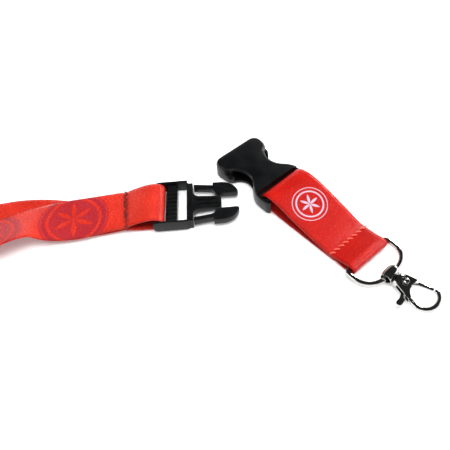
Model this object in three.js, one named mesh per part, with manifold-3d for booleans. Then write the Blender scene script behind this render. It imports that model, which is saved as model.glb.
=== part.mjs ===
// A lanyard with a side-release buckle, lying open on a flat surface. The neck
// ribbon is sewn round the prong half of the buckle. The socket half carries a
// short ribbon loop, a D-ring and a swivelling snap hook.
// Units are millimetres. +X runs along the prong half towards its prongs, +Z is
// up, and the origin is under the middle of the prong half's base, on the surface.

import * as THREE from 'three';
import { mergeVertices } from 'three/addons/utils/BufferGeometryUtils.js';
import Module from 'manifold-3d';

// ---------------------------------------------------------------- dimensions

const ribbon = { width: 20, thickness: 0.6 };
const gap = 0.3;

// prong half of the buckle
const prong = {
  railOuter: 11.2,     // half width over the rails
  railInner: 10.3,
  railZ: [0.7, 5.7],
  railEndX: -14.8,
  baseX: [-1.3, 1.2],
  baseHalfWidth: 10.2,
  baseHeight: 4.8,
  ribbedBarX: [-9.3, -5.2],
  ribbedBarZ: [0.8, 4.8],
  ribCount: 10,
  outerBarX: -12.8,
  outerBarZ: 2.9,
  outerBarRadius: 1.4,
  lipX: -10.2,
  lipTop: 2.4,
};

// centre tongue and the two release arms
const tongue = {
  tipX: 12.8,
  filletX: 4,
  filletHalfWidth: 6,
  rootHalfWidth: 3.3,
  tipHalfWidth: 2.6,
  z: [1.2, 4],
};
const arm = {
  rootX: 1.5,
  rootY: 9.9,
  neckY: 8.8,
  width: 2,
  barbX: 9.5,
  barbY: 10.3,
  tipX: 19.9,
  z: [1.2, 4.4],
};

// socket half of the buckle, along its own axis from the webbing bar
const socket = {
  mouthX: -28.8,
  mouthHalfWidth: 12.2,
  mouthCorner: 4.2,
  shoulderX: -20.2,
  topShoulderX: -22.2,
  ledgeZ: 4.4,
  waistX: -12.6,
  waistHalfWidth: 6.4,
  lugX: 5.4,
  lugHalfWidth: 11.7,
  lugCorner: 2.4,
  slotX: -2,
  slotHalfWidth: 10.4,
  height: 7.6,
  lugHeight: 6.2,
  edgeRounding: 1.6,
  cavityZ: [1.6, 6],
  cavityHalfWidth: 9.9,
  cavityEndX: -7.6,
  barX: 1.2,
  barZ: 3.9,
  barRadius: 1.5,
};

// short ribbon loop and D-ring, in the socket's axes
const shortStrap = {
  stitchX: 36.4,
  stitchTop: 2,
  stitchBottom: 0.4,
  crownX: 4,
  crownZ: 7.6,
  farLift: 2.9,
  foldSlack: 0.9,
  gather: 0.8,
};
const dRing = {
  barX: 44.9,
  y: -0.4,
  z: 2.1,
  wireRadius: 0.95,
  halfWidth: 11.1,
  cornerRadius: 2,
  straightX: 48.5,
  endX: 56.5,
};

// swivel hook, along its own axis from the middle of its eye
const eye = {
  z: 2.6,
  holeRadius: 1.8,
  outerRadius: 2.6,
  endRadius: 2.2,
  halfWidth: 3,
  postRadius: 0.8,
  postEndX: 3.8,
};
const postHead = { radius: 1.3, thickness: 0.4 };
const hook = {
  thickness: 2.4,
  collarRadius: 2.5,
  collarX: [2.9, 4.4],
  slotX: [4.3, 10.4],
  slotZ: [-0.8, 0.8],
  wireRadius: 0.9,
};
const gate = { z: [-0.7, 0.05], rodRadius: 0.75, padZ: [-0.9, 0.9] };
const rivet = {
  x: 5.8,
  y: 0.35,
  radius: 0.7,
  rimRadius: 0.85,
  rimWire: 0.38,
  rimFlatness: 0.8,
  holeRadius: 0.45,
};
const spring = { z: 0.42, wireRadius: 0.17, coilRadius: 1.1 };

// where the socket half lies beside the prong half
const socketPlace = { x: 37.5, y: 4.7, turn: THREE.MathUtils.degToRad(-52) };
const hookPlace = { x: dRing.endX, y: -1.2, turn: THREE.MathUtils.degToRad(4) };

// folded length of the neck ribbon
const hank = {
  x: [-204, -101],
  y: -6,
  z: [1, 10.6],
  halfWidth: 10.2,
  tieX: -150,
  tieWidth: 6,
  tieThickness: 0.6,
};

// ----------------------------------------------------------------- materials

const red = { color: 0xd92a1c, roughness: 0.45, metalness: 0 };
const darkThread = { color: 0x8c1512, roughness: 0.7, metalness: 0 };
const lightThread = { color: 0xf2705f, roughness: 0.7, metalness: 0 };
const blackPlastic = { color: 0x141516, roughness: 0.4, metalness: 0 };
const nickel = { color: 0xc9cbcd, roughness: 0.15, metalness: 1 };
const springSteel = { color: 0x9a9c9e, roughness: 0.3, metalness: 1 };
const blackElastic = { color: 0x1b1b1c, roughness: 0.8, metalness: 0 };

// ------------------------------------------------------------ solid modelling

const wasm = await Module();
wasm.setup();

function toSolid(geometry) {
  const bare = geometry.index ? geometry.toNonIndexed() : geometry.clone();
  bare.deleteAttribute('normal');
  bare.deleteAttribute('uv');
  const merged = mergeVertices(bare, 1e-4);
  const vertProperties = new Float32Array(merged.attributes.position.array);
  const triVerts = new Uint32Array(merged.index.array);
  return new wasm.Manifold(new wasm.Mesh({ numProp: 3, vertProperties, triVerts }));
}

function toGeometry(solid) {
  const mesh = solid.getMesh();
  const geometry = new THREE.BufferGeometry();
  const positions = new Float32Array(mesh.numVert * 3);
  for (let i = 0; i < mesh.numVert; i += 1) {
    for (let k = 0; k < 3; k += 1) {
      positions[3 * i + k] = mesh.vertProperties[mesh.numProp * i + k];
    }
  }
  geometry.setAttribute('position', new THREE.BufferAttribute(positions, 3));
  geometry.setIndex(new THREE.BufferAttribute(new Uint32Array(mesh.triVerts), 1));
  geometry.computeVertexNormals();
  return geometry;
}

function join(first, ...others) {
  return toGeometry(others.reduce((solid, other) => solid.add(toSolid(other)), toSolid(first)));
}

function cut(body, ...tools) {
  return toGeometry(tools.reduce((solid, tool) => solid.subtract(toSolid(tool)), toSolid(body)));
}

// a block between two corners
function block([x0, x1], [y0, y1], [z0, z1]) {
  const geometry = new THREE.BoxGeometry(x1 - x0, y1 - y0, z1 - z0);
  return geometry.translate((x0 + x1) / 2, (y0 + y1) / 2, (z0 + z1) / 2);
}

// a plan outline raised between two heights, with an optional rounded edge
function slab(shape, [z0, z1], bevel = 0) {
  const geometry = new THREE.ExtrudeGeometry(shape, {
    depth: z1 - z0 - 2 * bevel,
    bevelEnabled: bevel > 0,
    bevelThickness: bevel,
    bevelSize: bevel,
    bevelOffset: -bevel,
    bevelSegments: 2,
    curveSegments: 8,
  });
  return geometry.translate(0, 0, z0 + bevel);
}

// a side outline (x along the piece, y up) spread across the width
function sideProfile(shape, y0, y1, curveSegments = 8) {
  const geometry = new THREE.ExtrudeGeometry(shape, { depth: y1 - y0, bevelEnabled: false, curveSegments });
  return geometry.rotateX(Math.PI / 2).translate(0, y1, 0);
}

// a round bar between two points
function bar(from, to, radius, sides = 20) {
  const length = from.distanceTo(to);
  const geometry = new THREE.CylinderGeometry(radius, radius, length, sides);
  const turn = new THREE.Quaternion();
  turn.setFromUnitVectors(new THREE.Vector3(0, 1, 0), to.clone().sub(from).normalize());
  return geometry.applyQuaternion(turn).translate(...from.clone().add(to).divideScalar(2).toArray());
}

// a round wire along a curve
function wire(curve, radius, sides, steps) {
  const section = new THREE.Shape();
  section.absarc(0, 0, radius, 0, 2 * Math.PI);
  const options = { extrudePath: curve, steps, curveSegments: sides / 2, bevelEnabled: false };
  return new THREE.ExtrudeGeometry(section, options);
}

// a flat ribbon along a route; each stop has a place and the direction from the near edge to the far one
function ribbonAlong(stops, thickness, steps) {
  const middle = new THREE.CatmullRomCurve3(stops.map((stop) => new THREE.Vector3(...stop.at)));
  const sides = stops.map((stop) => new THREE.Vector3(...stop.across).normalize());
  const across = new THREE.CatmullRomCurve3(sides);
  const geometry = new THREE.BoxGeometry(1, 1, 1, steps, 1, 1);
  const position = geometry.attributes.position;
  for (let i = 0; i < position.count; i += 1) {
    const t = position.getX(i) + 0.5;
    const centre = middle.getPoint(t);
    const side = across.getPoint(t).normalize();
    const up = middle.getTangent(t).cross(side).normalize();
    side.multiplyScalar(position.getY(i) * ribbon.width);
    up.multiplyScalar(position.getZ(i) * thickness);
    centre.add(side).add(up);
    position.setXYZ(i, centre.x, centre.y, centre.z);
  }
  return geometry;
}

function piece(name, geometry, look) {
  const mesh = new THREE.Mesh(geometry, new THREE.MeshStandardMaterial(look));
  mesh.name = name;
  return mesh;
}

// -------------------------------------------------------------- prong half

function prongFrame() {
  const { railEndX, railZ, railOuter, railInner, baseX, ribbedBarX, ribbedBarZ, ribCount } = prong;
  const rail = new THREE.Shape();
  rail.moveTo(baseX[0] + 0.2, railZ[0]);
  rail.lineTo(baseX[0] + 0.2, railZ[1]);
  rail.lineTo(railEndX + 2, railZ[1]);
  rail.quadraticCurveTo(railEndX, railZ[1], railEndX, railZ[1] - 2);
  rail.lineTo(railEndX, railZ[0] + 2);
  rail.quadraticCurveTo(railEndX, railZ[0], railEndX + 2, railZ[0]);
  const farRail = sideProfile(rail, railInner, railOuter);
  const nearRail = sideProfile(rail, -railOuter, -railInner);

  const base = block(baseX, [-prong.baseHalfWidth, prong.baseHalfWidth], [0, prong.baseHeight]);
  const between = [-railInner - 0.2, railInner + 0.2];
  const shoulder = block([baseX[0], baseX[0] + 0.6], between, [0, prong.baseHeight]);

  // the adjuster bar's top is a row of rounded ribs
  const ribs = new THREE.Shape();
  const pitch = (2 * railInner + 0.4) / ribCount;
  const startY = -railInner - 0.2;
  ribs.moveTo(startY, ribbedBarZ[0]);
  ribs.lineTo(startY + ribCount * pitch, ribbedBarZ[0]);
  for (let i = ribCount; i > 0; i -= 1) {
    const valley = startY + i * pitch;
    ribs.lineTo(valley, ribbedBarZ[1] - 0.5);
    ribs.quadraticCurveTo(valley - pitch / 2, ribbedBarZ[1] + 0.5, valley - pitch, ribbedBarZ[1] - 0.5);
  }
  const ribbedBar = new THREE.ExtrudeGeometry(ribs, {
    depth: ribbedBarX[1] - ribbedBarX[0],
    bevelEnabled: false,
    curveSegments: 4,
  });
  ribbedBar.rotateX(Math.PI / 2).rotateZ(Math.PI / 2).translate(ribbedBarX[0], 0, 0);

  const lip = block([prong.lipX, ribbedBarX[0] + 0.2], between, [ribbedBarZ[0], prong.lipTop]);

  const { outerBarX: x, outerBarZ: z, outerBarRadius } = prong;
  const end = railInner + 0.2;
  const outerBar = bar(new THREE.Vector3(x, -end, z), new THREE.Vector3(x, end, z), outerBarRadius);

  const plan = new THREE.Shape();
  plan.moveTo(baseX[1] - 0.3, -tongue.filletHalfWidth);
  plan.quadraticCurveTo(baseX[1] + 0.6, -tongue.rootHalfWidth, tongue.filletX, -tongue.rootHalfWidth);
  plan.lineTo(tongue.tipX - 1, -tongue.tipHalfWidth);
  plan.quadraticCurveTo(tongue.tipX, -tongue.tipHalfWidth, tongue.tipX, -tongue.tipHalfWidth + 1);
  plan.lineTo(tongue.tipX, tongue.tipHalfWidth - 1);
  plan.quadraticCurveTo(tongue.tipX, tongue.tipHalfWidth, tongue.tipX - 1, tongue.tipHalfWidth);
  plan.lineTo(tongue.filletX, tongue.rootHalfWidth);
  plan.quadraticCurveTo(baseX[1] + 0.6, tongue.rootHalfWidth, baseX[1] - 0.3, tongue.filletHalfWidth);
  const centre = slab(plan, tongue.z);
  const grooves = [-1, 1].map((side) => {
    return block([2.4, tongue.tipX - 1.2], [side * 1.2 - 0.25, side * 1.2 + 0.25], [tongue.z[1] - 0.4, 5]);
  });

  return cut(join(farRail, nearRail, base, shoulder, ribbedBar, lip, outerBar, centre), ...grooves);
}

// one springy arm with its barb; side is 1 for the far arm and -1 for the near one
function releaseArm(side) {
  const { rootX, rootY, neckY, width, barbX, barbY, tipX, z } = arm;
  const plan = new THREE.Shape();
  plan.moveTo(rootX, rootY);
  plan.lineTo(barbX, neckY);
  plan.lineTo(barbX, barbY);
  plan.lineTo(13.4, barbY - 0.1);
  plan.quadraticCurveTo(17, 9.7, 18.8, 7.2);
  plan.quadraticCurveTo(tipX, 5.4, tipX, 4.8);
  plan.quadraticCurveTo(tipX, 3.9, tipX - 1.2, 3.9);
  plan.lineTo(11.8, 4.1);
  plan.quadraticCurveTo(10.4, 4.2, 10, 5.4);
  plan.quadraticCurveTo(9.6, neckY - width, 8, neckY + 0.2 - width);
  plan.lineTo(rootX, rootY - width);
  const geometry = slab(plan, z, 0.4);
  // the near arm is the far one turned over about the buckle's axis
  if (side < 0) {
    geometry.rotateX(Math.PI).translate(0, 0, z[0] + z[1]);
  }
  return geometry;
}

// ------------------------------------------------------------- socket half

// the outline from above; the thumb scoops start at shoulderX
function socketPlan(shoulderX) {
  const s = socket;
  const corner = s.mouthCorner;
  // the far side, from the mouth to the lug; the near side mirrors it
  const side = new THREE.Path();
  side.moveTo(s.mouthX, s.mouthHalfWidth - corner);
  side.quadraticCurveTo(s.mouthX, s.mouthHalfWidth, s.mouthX + corner, s.mouthHalfWidth);
  side.lineTo(shoulderX, s.mouthHalfWidth - 0.4);
  side.quadraticCurveTo(shoulderX + 2.2, s.mouthHalfWidth - 0.8, shoulderX + 3.2, 8.9);
  side.quadraticCurveTo(-15.4, s.waistHalfWidth, s.waistX, s.waistHalfWidth);
  side.quadraticCurveTo(-9.4, s.waistHalfWidth, -6.8, 9);
  side.quadraticCurveTo(-3.8, s.lugHalfWidth, 0, s.lugHalfWidth);
  side.lineTo(s.lugX - s.lugCorner, s.lugHalfWidth);
  side.quadraticCurveTo(s.lugX, s.lugHalfWidth, s.lugX, s.lugHalfWidth - s.lugCorner);
  const far = side.getPoints(6);
  const near = far.map((point) => new THREE.Vector2(point.x, -point.y)).reverse();
  return new THREE.Shape([...far, ...near]);
}

function socketHousing() {
  const s = socket;
  const upper = slab(socketPlan(s.topShoulderX), [0, s.height], s.edgeRounding);
  const lower = slab(socketPlan(s.shoulderX), [0, s.ledgeZ], s.edgeRounding / 2);
  const body = join(upper, lower);

  const cavity = block(
    [s.mouthX - 1, s.cavityEndX],
    [-s.cavityHalfWidth, s.cavityHalfWidth],
    s.cavityZ,
  );
  const webbingSlot = block([s.slotX, s.lugX + 1], [-s.slotHalfWidth, s.slotHalfWidth], [-1, s.height + 1]);
  const lugTop = block([s.slotX, s.lugX + 1], [-20, 20], [s.lugHeight, s.height + 1]);
  const webbingBar = bar(
    new THREE.Vector3(s.barX, -s.slotHalfWidth - 0.5, s.barZ),
    new THREE.Vector3(s.barX, s.slotHalfWidth + 0.5, s.barZ),
    s.barRadius,
  );
  return join(cut(body, cavity, webbingSlot, lugTop), webbingBar);
}

// ------------------------------------------------------------------ ribbons

// the neck ribbon folded round the outer bar and sewn to itself
function neckLoop() {
  const { outerBarX: x, outerBarZ: z, outerBarRadius } = prong;
  const inner = outerBarRadius + gap;
  const outer = inner + ribbon.thickness;
  const endX = -27;
  const crownX = -15.5;
  const crownZ = 6.6;
  const side = new THREE.Shape();
  side.moveTo(endX, 1.3);
  side.lineTo(-20, z - outer);
  side.lineTo(x, z - outer);
  side.absarc(x, z, outer, -Math.PI / 2, 0);
  side.quadraticCurveTo(x + outer, crownZ, crownX, crownZ);
  side.quadraticCurveTo(-19, crownZ, endX, 2.9);
  const hole = new THREE.Path();
  hole.moveTo(-23.4, 2.1);
  hole.quadraticCurveTo(-18.6, crownZ - ribbon.thickness - 0.4, crownX, crownZ - ribbon.thickness);
  hole.quadraticCurveTo(x + inner, crownZ - ribbon.thickness, x + inner, z);
  hole.absarc(x, z, inner, 0, -Math.PI / 2, true);
  hole.lineTo(-20, z - inner);
  side.holes.push(hole);
  return sideProfile(side, -ribbon.width / 2, ribbon.width / 2);
}

// the two legs of the neck ribbon, from the seam to the folded length
const frontLegStops = [
  { at: [-27.4, 0, 2.75], across: [0, 1, 0] },
  { at: [-37, -1.4, 2.75], across: [-0.1, 1, 0.03] },
  { at: [-46, -3.2, 3], across: [-0.1, 1, 0.1] },
  { at: [-56, -3.9, 3.4], across: [-0.15, 1, 0.02] },
  { at: [-65, -4.4, 4.4], across: [-0.28, 1, -0.25] },
  { at: [-73, -7.6, 5.2], across: [-0.42, 1, -0.34] },
  { at: [-81, -10.8, 5], across: [-0.3, 1, -0.25] },
  { at: [-90, -10.8, 3.9], across: [0.05, 1, 0] },
  { at: [-100.6, -6, 3], across: [0, 1, 0] },
];
const backLegStops = [
  { at: [-27.4, 0, 1.6], across: [0, 1, 0] },
  { at: [-37, -1.2, 1.2], across: [-0.06, 1, 0] },
  { at: [-48, -1.6, 0.8], across: [-0.02, 1, 0] },
  { at: [-58, 0.3, 0.7], across: [0.14, 1, 0] },
  { at: [-66, 1.6, 0.7], across: [0.08, 1, 0] },
  { at: [-75, 1.7, 0.7], across: [-0.06, 1, 0] },
  { at: [-84, 0.2, 0.8], across: [-0.2, 1, 0] },
  { at: [-92, -2.6, 1.1], across: [-0.3, 1, 0] },
  { at: [-100.6, -6, 1.7], across: [0, 1, 0] },
];

// the outer shape of the rest of the neck ribbon, folded back and forth
function foldedLength() {
  const { x, y, z, halfWidth } = hank;
  const radius = (z[1] - z[0]) / 2;
  const middle = (z[0] + z[1]) / 2;
  const side = new THREE.Shape();
  side.moveTo(x[0] + radius, z[0]);
  side.lineTo(x[1] - 1, z[0]);
  side.lineTo(x[1], z[0] + 1);
  side.lineTo(x[1], z[1] - 1);
  side.lineTo(x[1] - 1, z[1]);
  side.lineTo(x[0] + radius, z[1]);
  side.absarc(x[0] + radius, middle, radius, Math.PI / 2, 1.5 * Math.PI);
  return sideProfile(side, y - halfWidth, y + halfWidth);
}

// the elastic band that holds the folds
function hankTie() {
  const { y, z, halfWidth, tieX, tieWidth, tieThickness } = hank;
  const inside = { y: halfWidth + gap, z0: z[0] - gap, z1: z[1] + gap };
  const outer = block(
    [tieX - tieWidth / 2, tieX + tieWidth / 2],
    [y - inside.y - tieThickness, y + inside.y + tieThickness],
    [inside.z0 - tieThickness, inside.z1 + tieThickness],
  );
  const room = [y - inside.y, y + inside.y];
  const opening = block([tieX - tieWidth, tieX + tieWidth], room, [inside.z0, inside.z1]);
  return cut(outer, opening);
}

// the short ribbon sewn round the webbing bar at one end and the D-ring at the other
function shortRibbon() {
  const { barX, barZ, barRadius } = socket;
  const barInner = barRadius + gap;
  const barOuter = barInner + ribbon.thickness;
  const ringInner = dRing.wireRadius + gap;
  const ringOuter = ringInner + ribbon.thickness;
  const { stitchX, stitchTop, stitchBottom, crownX, crownZ, farLift, foldSlack, gather } = shortStrap;
  const foldX = dRing.barX + foldSlack;
  const side = new THREE.Shape();
  side.moveTo(barX - barOuter, barZ);
  side.absarc(barX, barZ, barOuter, Math.PI, 1.5 * Math.PI);
  side.quadraticCurveTo(barX + 6, stitchBottom, barX + 14, stitchBottom);
  side.lineTo(stitchX + 2, stitchBottom);
  side.lineTo(dRing.barX - 0.6, dRing.z - ringOuter);
  side.lineTo(foldX, dRing.z - ringOuter);
  side.absarc(foldX, dRing.z, ringOuter, -Math.PI / 2, Math.PI / 2);
  side.lineTo(dRing.barX - 0.6, dRing.z + ringOuter);
  side.lineTo(stitchX, stitchTop);
  side.bezierCurveTo(14, crownZ - 3.4, 12, crownZ, crownX, crownZ);
  side.quadraticCurveTo(barX - barOuter, crownZ, barX - barOuter, barZ);
  const under = ribbon.thickness;
  const wedge = new THREE.Path();
  wedge.moveTo(barX - barInner, barZ);
  wedge.absarc(barX, barZ, barInner, Math.PI, 1.5 * Math.PI);
  wedge.quadraticCurveTo(barX + 6, stitchBottom + under, barX + 14, stitchBottom + under);
  wedge.lineTo(stitchX - 4, stitchBottom + under + 0.3);
  wedge.bezierCurveTo(14, crownZ - 3.4 - under, 11.5, crownZ - under, crownX, crownZ - under);
  wedge.quadraticCurveTo(barX - barInner, crownZ - under, barX - barInner, barZ);
  const ringHole = new THREE.Path();
  ringHole.moveTo(stitchX + 3, 1.2);
  ringHole.lineTo(dRing.barX - 0.6, dRing.z - ringInner);
  ringHole.lineTo(foldX, dRing.z - ringInner);
  ringHole.absarc(foldX, dRing.z, ringInner, -Math.PI / 2, Math.PI / 2);
  ringHole.lineTo(dRing.barX - 0.6, dRing.z + ringInner);
  side.holes.push(wedge, ringHole);
  const geometry = sideProfile(side, -ribbon.width / 2, ribbon.width / 2, 24);

  // the upper ply stands higher along its far edge, and the ring gathers that edge inwards
  const position = geometry.attributes.position;
  const { clamp } = THREE.MathUtils;
  for (let i = 0; i < position.count; i += 1) {
    const [x, y, z] = [position.getX(i), position.getY(i), position.getZ(i)];
    const startZ = x < crownX + 2 ? barZ : stitchBottom + 1;
    const weight = clamp((z - startZ) / 1.5, 0, 1);
    const farness = y / ribbon.width + 0.5;
    const along = clamp((x + 6) / 40, 0, 1);
    position.setZ(i, z + farLift * Math.sin(Math.PI * along) * weight * farness);
    position.setY(i, y - gather * farness * clamp((x - stitchX) / 6, 0, 1));
  }
  return geometry;
}

// a row of stitches across a ribbon, drawn as one thread lying on top of it
function stitchRow(x, z, skew = 0) {
  const points = [];
  const stitches = 9;
  const reach = ribbon.width / 2 - 0.5;
  for (let i = 0; i <= stitches; i += 1) {
    const y = -reach + (2 * reach * i) / stitches;
    points.push(new THREE.Vector3(x + skew * y + (i % 2 ? 0.35 : -0.35), y, z));
  }
  return wire(new THREE.CatmullRomCurve3(points), 0.25, 6, 27);
}

// ------------------------------------------------------------ ring and hook

// half of the D-ring's centre line, from the middle of its straight bar to the far end of its arc
function halfRing(side) {
  const { barX, halfWidth, cornerRadius: r, straightX, endX } = dRing;
  const path = new THREE.CurvePath();
  const overlap = 0.2;
  const at = (x, y) => new THREE.Vector3(x, side * y, 0);
  path.add(new THREE.LineCurve3(at(barX, -overlap), at(barX, halfWidth - r)));
  const corner = [at(barX, halfWidth - r), at(barX, halfWidth), at(barX + r, halfWidth)];
  path.add(new THREE.QuadraticBezierCurve3(...corner));
  path.add(new THREE.LineCurve3(at(barX + r, halfWidth), at(straightX, halfWidth)));
  const bend = [at(straightX, halfWidth), at(endX - 2.5, halfWidth), at(endX, 7.5), at(endX, 0)];
  path.add(new THREE.CubicBezierCurve3(...bend));
  path.add(new THREE.LineCurve3(at(endX, 0), at(endX, -overlap)));
  return path;
}

function ringWire() {
  const halves = [1, -1].map((side) => wire(halfRing(side), dRing.wireRadius, 12, 48));
  return join(...halves);
}

// the eye that takes the D-ring, with the post and head that the hook turns on
function swivelEye() {
  const { holeRadius, outerRadius, endRadius, halfWidth, postRadius, postEndX } = eye;
  const shoulderRadius = (endRadius + outerRadius) / 2 + 0.06;
  const section = [
    new THREE.Vector2(holeRadius, -halfWidth + 0.3),
    new THREE.Vector2(holeRadius + 0.2, -halfWidth),
    new THREE.Vector2(endRadius, -halfWidth),
    new THREE.Vector2(shoulderRadius, -halfWidth * 0.72),
    new THREE.Vector2(outerRadius, -halfWidth * 0.4),
    new THREE.Vector2(outerRadius, halfWidth * 0.4),
    new THREE.Vector2(shoulderRadius, halfWidth * 0.72),
    new THREE.Vector2(endRadius, halfWidth),
    new THREE.Vector2(holeRadius + 0.2, halfWidth),
    new THREE.Vector2(holeRadius, halfWidth - 0.3),
    new THREE.Vector2(holeRadius, -halfWidth + 0.3),
  ];
  const ring = new THREE.LatheGeometry(section, 28);
  const at = (x) => new THREE.Vector3(x, 0, 0);
  const post = bar(at(outerRadius - 0.5), at(postEndX), postRadius, 16);
  const head = bar(at(postEndX - postHead.thickness), at(postEndX), postHead.radius, 20);
  return join(ring, post, head);
}

// collar, cheeks and the open curved end of the snap hook
function hookBody() {
  const half = hook.thickness / 2;
  const plan = new THREE.Shape();
  plan.moveTo(3.8, 2.8);
  plan.lineTo(7.9, 3.6);
  plan.quadraticCurveTo(8.7, 3.7, 8.5, 2.9);
  plan.quadraticCurveTo(8, 1.8, 8.2, 0.2);
  plan.quadraticCurveTo(8.5, -2.2, 10.6, -3.8);
  plan.lineTo(10.4, -5);
  plan.lineTo(3.8, -2.6);
  const plate = slab(plan, [-half, half]);
  const at = (x, y, z = 0) => new THREE.Vector3(x, y, z);
  const route = [
    at(4.2, -1.9),
    at(7, -2.9),
    at(9.6, -3.9),
    at(12, -4.8),
    at(14.3, -5.1),
    at(16.4, -4.3),
    at(17.9, -2.2),
    at(18.3, 0.5),
    at(17.7, 2.8),
    at(16.5, 4.2),
    at(15.1, 4.65),
  ];
  const loop = wire(new THREE.CatmullRomCurve3(route), hook.wireRadius, 12, 48);
  const collar = bar(at(hook.collarX[0], 0), at(hook.collarX[1], 0), hook.collarRadius, 24);
  collar.scale(1, 1.18, 1);
  const postHole = bar(at(2, 0), at(4, 0), eye.postRadius + gap, 16);
  const headStart = eye.postEndX - postHead.thickness - 0.2;
  const headRoom = bar(at(headStart, 0), at(eye.postEndX + gap, 0), postHead.radius + gap, 20);
  const { x, y } = rivet;
  const rivetHole = bar(at(x, y, -half - 1), at(x, y, half + 1), rivet.radius + 0.1, 16);
  const gateRoom = block(hook.slotX, [-8, 6], hook.slotZ);
  return cut(join(plate, loop, collar), postHole, headRoom, rivetHole, gateRoom);
}

// the sprung gate with its thumb lever
function gateLever() {
  const { x, y } = rivet;
  const plan = new THREE.Shape();
  plan.moveTo(x, y + 1.2);
  plan.lineTo(7.4, 2.6);
  plan.lineTo(10.2, 3.6);
  plan.lineTo(10.4, 2.9);
  plan.lineTo(8.2, 1.6);
  plan.lineTo(7.6, -0.5);
  plan.lineTo(9.6, -7);
  plan.lineTo(8, -7);
  plan.lineTo(5.9, -0.8);
  plan.quadraticCurveTo(4.6, -0.2, 4.65, y);
  plan.quadraticCurveTo(4.8, y + 1.1, x, y + 1.2);
  const lever = slab(plan, gate.z);
  const rod = bar(new THREE.Vector3(9.2, 3, 0), new THREE.Vector3(14.5, 4.4, 0), gate.rodRadius, 16);
  const pad = new THREE.Shape();
  pad.moveTo(8, -5.8);
  pad.lineTo(9.6, -5.8);
  pad.lineTo(9.9, -8);
  pad.quadraticCurveTo(9.9, -9.3, 8.8, -9.3);
  pad.quadraticCurveTo(7.8, -9.3, 7.8, -8);
  const hole = bar(new THREE.Vector3(x, y, -2), new THREE.Vector3(x, y, 2), rivet.radius + 0.1, 16);
  return cut(join(lever, rod, slab(pad, gate.padZ)), hole);
}

// the hollow rivet that the gate turns on
function gateRivet() {
  const { x, y, radius, rimRadius, rimWire, rimFlatness, holeRadius } = rivet;
  const rimZ = hook.thickness / 2 + 0.1 + rimWire * rimFlatness;
  const at = (z) => new THREE.Vector3(x, y, z);
  const shank = bar(at(-rimZ), at(rimZ), radius, 16);
  // the rolled rims stand on the cheeks
  const rims = [1, -1].map((side) => {
    const rim = new THREE.TorusGeometry(rimRadius, rimWire, 8, 24);
    return rim.scale(1, 1, rimFlatness).translate(x, y, side * rimZ);
  });
  const dimples = [1, -1].map((side) => bar(at(side * (rimZ - 0.5)), at(side * (rimZ + 1)), holeRadius, 12));
  return cut(join(shank, ...rims), ...dimples);
}

// the torsion spring on the rivet that keeps the gate shut
function gateSpring() {
  const { z, wireRadius, coilRadius } = spring;
  const coil = new THREE.TorusGeometry(coilRadius, wireRadius, 6, 20).translate(rivet.x, rivet.y, z);
  const leg = (dx, dy) => {
    const start = new THREE.Vector3(rivet.x + Math.sign(dx) * coilRadius, rivet.y, z);
    return bar(start, new THREE.Vector3(rivet.x + dx, rivet.y + dy, z), wireRadius, 6);
  };
  return join(coil, leg(1.4, 1.6), leg(-0.9, -1.6));
}

// ---------------------------------------------------------------- assembly

const lanyard = new THREE.Group();

lanyard.add(
  piece('neck_strap_loop', neckLoop(), red),
  piece('neck_strap_front_leg', ribbonAlong(frontLegStops, ribbon.thickness, 32), red),
  piece('neck_strap_back_leg', ribbonAlong(backLegStops, ribbon.thickness, 32), red),
  piece('neck_strap_folds', foldedLength(), red),
  piece('neck_strap_tie', hankTie(), blackElastic),
  piece('neck_strap_stitching', stitchRow(-26.4, 4.25, -0.1), darkThread),
  piece('buckle_prong_frame', prongFrame(), blackPlastic),
  piece('release_arm_far', releaseArm(1), blackPlastic),
  piece('release_arm_near', releaseArm(-1), blackPlastic),
);

const socketHalf = new THREE.Group();
socketHalf.position.set(socketPlace.x, socketPlace.y, 0);
socketHalf.rotation.z = socketPlace.turn;
socketHalf.add(
  piece('buckle_socket', socketHousing(), blackPlastic),
  piece('short_strap', shortRibbon(), red),
  piece('short_strap_stitching', stitchRow(shortStrap.stitchX, shortStrap.stitchTop + 0.6), lightThread),
  piece('d_ring', ringWire().translate(0, dRing.y, dRing.z), nickel),
);

const snapHook = new THREE.Group();
snapHook.position.set(hookPlace.x, hookPlace.y, eye.z);
snapHook.rotation.z = hookPlace.turn;
snapHook.add(
  piece('swivel_eye', swivelEye(), nickel),
  piece('hook_body', hookBody(), nickel),
  piece('hook_gate', gateLever(), nickel),
  piece('gate_rivet', gateRivet(), nickel),
  piece('gate_spring', gateSpring(), springSteel),
);
socketHalf.add(snapHook);
lanyard.add(socketHalf);

export default lanyard;
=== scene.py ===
"""A red ribbon lanyard with its side-release buckle unclipped, lying on a pale surface."""
import math
import random

import bmesh
import bpy
from mathutils import Matrix, Vector, noise


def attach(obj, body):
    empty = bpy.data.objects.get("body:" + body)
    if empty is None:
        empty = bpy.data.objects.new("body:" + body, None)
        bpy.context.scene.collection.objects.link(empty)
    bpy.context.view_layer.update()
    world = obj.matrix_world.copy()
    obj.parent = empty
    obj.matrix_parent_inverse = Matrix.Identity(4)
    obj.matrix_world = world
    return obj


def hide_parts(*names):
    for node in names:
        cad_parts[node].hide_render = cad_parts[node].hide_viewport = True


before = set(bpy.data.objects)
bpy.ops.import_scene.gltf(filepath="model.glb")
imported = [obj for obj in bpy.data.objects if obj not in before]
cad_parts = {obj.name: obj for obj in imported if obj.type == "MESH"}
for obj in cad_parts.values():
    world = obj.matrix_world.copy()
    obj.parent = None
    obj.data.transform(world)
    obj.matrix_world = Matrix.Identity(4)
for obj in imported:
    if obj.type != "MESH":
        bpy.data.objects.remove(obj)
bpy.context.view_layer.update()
MM = 0.001
# the ribbon, in millimetres
WIDTH = 20.0
THICKNESS = 0.6

# ------------------------------------------------------------------ camera

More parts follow.
